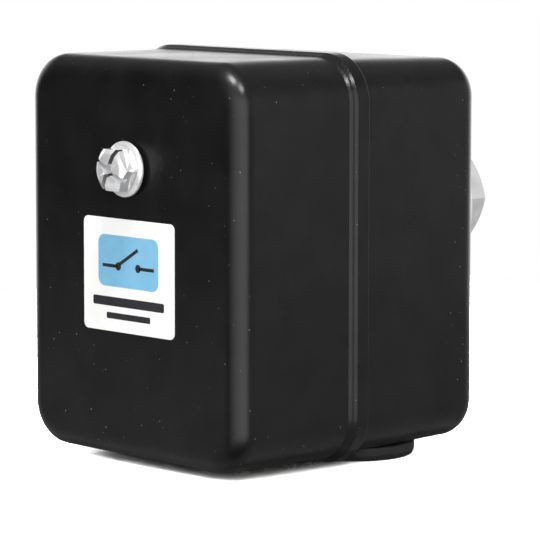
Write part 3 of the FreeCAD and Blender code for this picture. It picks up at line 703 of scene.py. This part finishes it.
def make_adjusters():
    """The three springs, each on a mesh of its own, and the range and differential studs. In
    the switch all three springs shorten a little as the lever rises: the adjusting springs
    against their seats, and the snap spring from both ends, since the carrier comes down on it.
    Here they are built at one length."""
    for name, wire, turns, fixed_share, keep in (("range", 1.0 * MM, 8, 0, 0.94),
                                                 ("differential", 0.5 * MM, 11, 0, 0.93),
                                                 ("snap", 0.4 * MM, 6, 0.8, 0.88)):
        spring = applied(make_spring(name + "_spring", wire, turns))
        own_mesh(spring)
    make_stud("range_stud", 0.7 * MM)
    make_stud("differential_stud", 0.5 * MM)


# ---------------------------------------------------------------- CAD pieces kept as they are
def polish(node, material, edge=0.12 * MM, steps=2, angle=25):
    """Give a CAD node its material and round its sharp edges a little."""
    piece = frame["nodes"][node]
    if not piece.material_slots:
        piece.data.materials.append(material)
    for slot in piece.material_slots:
        slot.material = material
    weld = piece.modifiers.new("weld", "WELD")
    weld.merge_threshold = 0.001 * MM
    flat = piece.modifiers.new("flat", "DECIMATE")
    flat.decimate_type = "DISSOLVE"
    flat.angle_limit = math.radians(0.5)
    if edge:
        soften(piece, edge, steps, angle)
    return shade(piece)


def polish_internals():
    materials = {"bright_plated": CHROME, "nickel_plated": NICKEL, "zinc_sheet": ZINC,
                 "yellow_zinc": YELLOW_ZINC, "brass": BRASS, "phenolic": PHENOLIC,
                 "spring_steel": SPRING_STEEL, "black_rubber": RUBBER,
                 "black_shell": BOX_BLACK, "label": VINYL}
    for node, piece in frame["nodes"].items():
        if not piece.hide_render:
            polish(node, materials[SLOT_OF[node]])


# ---------------------------------------------------------------- studio
# Azimuths and elevations are in degrees; azimuth 0 is the side that the cover faces
CAMERA_AZIMUTH, CAMERA_ELEVATION, CAMERA_DISTANCE = 47.86, 6.23, 0.8073
CAMERA_TARGET = Vector((0, -15.9 * MM, 51.0 * MM))
WINDOW_AZIMUTH, FRONT_AZIMUTH, WALL_AZIMUTH = 68, -3, 152
# Small lamps that gleam on rounded corners: azimuth, elevation, the half angles where
# each one starts and is full, and its brightness
LAMPS = ((24, 66, 9, 5, 95), (74, 49, 6, 3, 120))
# The floor, and the wedge that surfaces don't mirror: its tip across, and its sides' slope
FLOOR_REACH, WEDGE_TIP, WEDGE_SLOPE = 0.3, 0.036, 0.45


def plane(name, corners, height=0.0):
    """A level face through corners (x, y)."""
    mesh = bpy.data.meshes.new(name)
    mesh.from_pydata([(x, y, height) for x, y in corners], [], [tuple(range(len(corners)))])
    piece = bpy.data.objects.new(name, mesh)
    bpy.context.scene.collection.objects.link(piece)
    return piece


def make_floor():
    """A small table top whose colour is pushed far past white, so that only the darkest shadows
    show on it. Its colour is painted dark where ambient occlusion is strong, which gives a
    painted contact shadow under the object. Surfaces mirror it too, except in a wedge towards
    the window, which shines through there."""
    reach, tip, front = FLOOR_REACH, WEDGE_TIP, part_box("cover")[0].y
    floor = plane("floor", [(-reach, -reach), (reach, -reach), (reach, reach), (-reach, reach)])
    floor.visible_glossy = False
    mirrored = plane("mirrored_floor", [
        (tip, front), (tip + reach, front + reach * WEDGE_SLOPE), (reach, reach),
        (-reach, reach), (-reach, -reach), (tip - (front + reach) * WEDGE_SLOPE, -reach)],
        0.2 * MM)
    for rays in ("camera", "diffuse", "transmission", "shadow"):
        setattr(mirrored, "visible_" + rays, False)
    white = bpy.data.materials.new("floor_white")
    white.use_nodes = True
    tree = white.node_tree
    tree.nodes.remove(tree.nodes["Principled BSDF"])
    paper = tree.nodes.new("ShaderNodeBsdfDiffuse")
    rays = tree.nodes.new("ShaderNodeLightPath")
    # Painted shadow: ambient occlusion darkens the floor's colour next to the object, on top of
    # the real shadows from the lamps
    openness = tree.nodes.new("ShaderNodeAmbientOcclusion")
    openness.inputs["Distance"].default_value = 0.1
    painted_shadow = tree.nodes.new("ShaderNodeMapRange")
    painted_shadow.interpolation_type = "SMOOTHSTEP"
    for socket, value in (("From Min", 0.04), ("From Max", 0.14), ("To Min", 0.0),
                          ("To Max", 10.0)):
        painted_shadow.inputs[socket].default_value = value
    tone = tree.nodes.new("ShaderNodeMapRange")
    tone.inputs["To Min"].default_value = 0.3
    tree.links.new(openness.outputs["AO"], painted_shadow.inputs["Value"])
    tree.links.new(painted_shadow.outputs[0], tone.inputs["To Max"])
    tree.links.new(rays.outputs["Is Camera Ray"], tone.inputs["Value"])
    tree.links.new(tone.outputs[0], paper.inputs["Color"])
    tree.links.new(paper.outputs[0], tree.nodes["Material Output"].inputs["Surface"])
    for part in (floor, mirrored):
        part.data.materials.append(white)


def direction(azimuth, elevation):
    """The unit vector at an azimuth from -Y towards +X, and an elevation, in degrees."""
    turn, rise = math.radians(azimuth), math.radians(elevation)
    return Vector((math.cos(rise) * math.sin(turn), -math.cos(rise) * math.cos(turn),
                   math.sin(rise)))


def add_light(name, azimuth, elevation, distance, size, power, mirrored=True):
    """A square soft box that points at the middle of the object."""
    light = bpy.data.lights.new(name, "AREA")
    light.size = size
    light.energy = power
    box = bpy.data.objects.new(name, light)
    bpy.context.scene.collection.objects.link(box)
    away = direction(azimuth, elevation)
    box.location = Vector((0, 0, 0.05)) + away * distance
    box.rotation_euler = away.to_track_quat("Z", "Y").to_euler()
    box.visible_camera = False
    box.visible_glossy = mirrored


class Room:
    """The world's shader: how bright the studio is in each direction."""

    def __init__(self, tree):
        self.tree = tree
        self.toward = tree.nodes.new("ShaderNodeTexCoord").outputs["Generated"]

    def node(self, kind, output, inputs, **settings):
        node = self.tree.nodes.new("ShaderNode" + kind)
        for setting, value in settings.items():
            setattr(node, setting, value)
        for socket, value in inputs.items():
            if isinstance(value, bpy.types.NodeSocket):
                self.tree.links.new(value, node.inputs[socket])
            else:
                node.inputs[socket].default_value = value
        return node.outputs[output]

    def math(self, operation, first, second):
        return self.node("Math", 0, {0: first, 1: second}, operation=operation)

    def along(self, azimuth, elevation=0):
        """The cosine of the angle to a direction."""
        return self.node("VectorMath", "Value", {0: self.toward,
                                                 1: direction(azimuth, elevation)},
                         operation="DOT_PRODUCT")

    def ramp(self, value, start, end, low, high, smooth=True):
        return self.node("MapRange", 0, {"Value": value, "From Min": start, "From Max": end,
                                         "To Min": low, "To Max": high},
                         interpolation_type="SMOOTHSTEP" if smooth else "LINEAR")


def add_world():
    """A white sweep for the camera; surfaces mirror a dim room with a tall window on the
    right, a white backdrop behind the object, a grey wall, a soft ceiling and two lamps."""
    world = bpy.data.worlds.new("studio")
    bpy.context.scene.world = world
    world.use_nodes = True
    room = Room(world.node_tree)
    height = room.along(0, 90)
    low_down = room.ramp(room.math("ABSOLUTE", height, 0), 0.35, 0.6, 1, 0)
    window = room.ramp(room.along(WINDOW_AZIMUTH), 0.2, 1, 0, 3.7, smooth=False)
    in_front = room.ramp(room.along(FRONT_AZIMUTH), -0.14, 0.08, 0.14, 1)
    window = room.math("MULTIPLY", room.math("MULTIPLY", window, in_front), low_down)
    backdrop = room.math("MULTIPLY", room.ramp(height, 0.18, 0.55, 1, 0),
                         room.ramp(room.along(CAMERA_AZIMUTH - 180), 0.5, 0.8, 0, 2.0))
    ceiling = room.ramp(height, 0.3, 0.9, 0.08, 0.35)
    wall = room.math("MULTIPLY", low_down,
                     room.ramp(room.along(WALL_AZIMUTH), 0.75, 0.93, 0, 0.62))
    mirrored = room.math("ADD", room.math("ADD", ceiling, wall),
                         room.math("MAXIMUM", window, backdrop))
    for azimuth, elevation, outer, inner, strength in LAMPS:
        lamp = room.ramp(room.along(azimuth, elevation), math.cos(math.radians(outer)),
                         math.cos(math.radians(inner)), 0, strength)
        mirrored = room.math("ADD", mirrored, lamp)
    rays = room.tree.nodes.new("ShaderNodeLightPath")
    level = room.node("Mix", 0, {0: rays.outputs["Is Glossy Ray"], 2: 0.35, 3: mirrored})
    level = room.math("MAXIMUM", level, rays.outputs["Is Camera Ray"])
    surface = room.tree.nodes["Background"]
    surface.inputs["Color"].default_value = (1, 1, 1, 1)
    room.tree.links.new(level, surface.inputs["Strength"])


def add_camera():
    data = bpy.data.cameras.new("camera")
    data.lens = 220.1
    data.shift_x = 0.0526
    data.shift_y = -0.0381
    camera = bpy.data.objects.new("camera", data)
    bpy.context.scene.collection.objects.link(camera)
    away = direction(CAMERA_AZIMUTH, CAMERA_ELEVATION)
    camera.location = CAMERA_TARGET + away * CAMERA_DISTANCE
    camera.rotation_euler = away.to_track_quat("Z", "Y").to_euler()
    bpy.context.scene.camera = camera


add_camera()
make_cover()
make_seal()
make_cover_screw()
make_label()
make_box()
make_grommet("left")
make_grommet("right")
make_port()
make_adjusters()
polish_internals()
make_floor()
add_world()
add_light("overhead", 54, 70, 1.2, 0.22, 14, mirrored=False)
add_light("front_fill", 15, 35, 1.2, 0.8, 8, mirrored=False)
add_light("low_window", 55, 11, 1.2, 0.45, 9, mirrored=False)
bpy.context.scene.view_settings.view_transform = "Standard"
